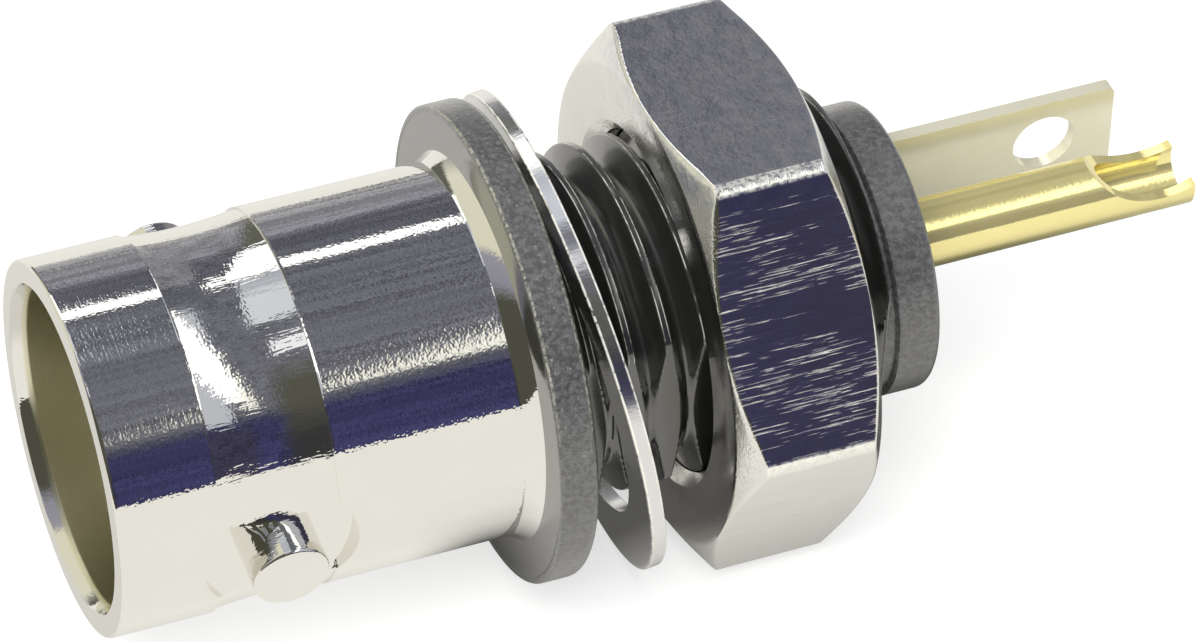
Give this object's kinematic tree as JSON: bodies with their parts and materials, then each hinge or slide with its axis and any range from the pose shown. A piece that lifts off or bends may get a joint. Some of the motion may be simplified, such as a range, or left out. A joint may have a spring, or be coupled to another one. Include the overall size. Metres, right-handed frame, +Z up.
{
  "type": "bayonet coaxial panel jack",
  "caption": "Insulated panel-mount bayonet coaxial jack: metal barrel with side lugs, black threaded body and flange, washer, hex nut, slotted centre socket, solder cup, drilled ground strip.",
  "frame": {"origin": "on the axis, in the rear plane of the flange, where it seats on the panel", "axes": "+X along the axis from the mating end towards the solder terminals, +Z up, square to the flat the nut lies on, +Y to the far side, where the ground strip is"},
  "size_m": [0.0301, 0.0144, 0.0131],
  "materials": {
    "nickel_plate": "bright nickel plate over brass, finely turned",
    "black_plastic": "moulded black, glossy thread, satin flange rim",
    "white_insulator": "smooth white",
    "gold_plate": "thin gold plate",
    "washer_steel": "plain rolled and stamped"
  },
  "bodies": {
    "housing": {"barrel": "nickel_plate", "insulating_sleeve": "black_plastic", "front_insulator": "white_insulator", "rear_insulator": "white_insulator", "centre_contact": "gold_plate", "ground_terminal": "gold_plate"},
    "washer": {"washer": "washer_steel"},
    "nut": {"nut": "nickel_plate"}
  },
  "joints": [
    {"name": "nut_turn", "type": "hinge", "parent": "housing", "child": "washer", "pos_m": [0, 0, 0], "axis": [1, 0, 0], "range_deg": [-360, 1440]},
    {"name": "nut_travel", "type": "slide", "parent": "washer", "child": "nut", "axis": [1, 0, 0], "range_m": [-0.00101, 0.00401]}
  ],
  "couplings": [
    {"joint": "nut_travel", "follows": "nut_turn", "m_per_rad": 0.00015915}
  ]
}
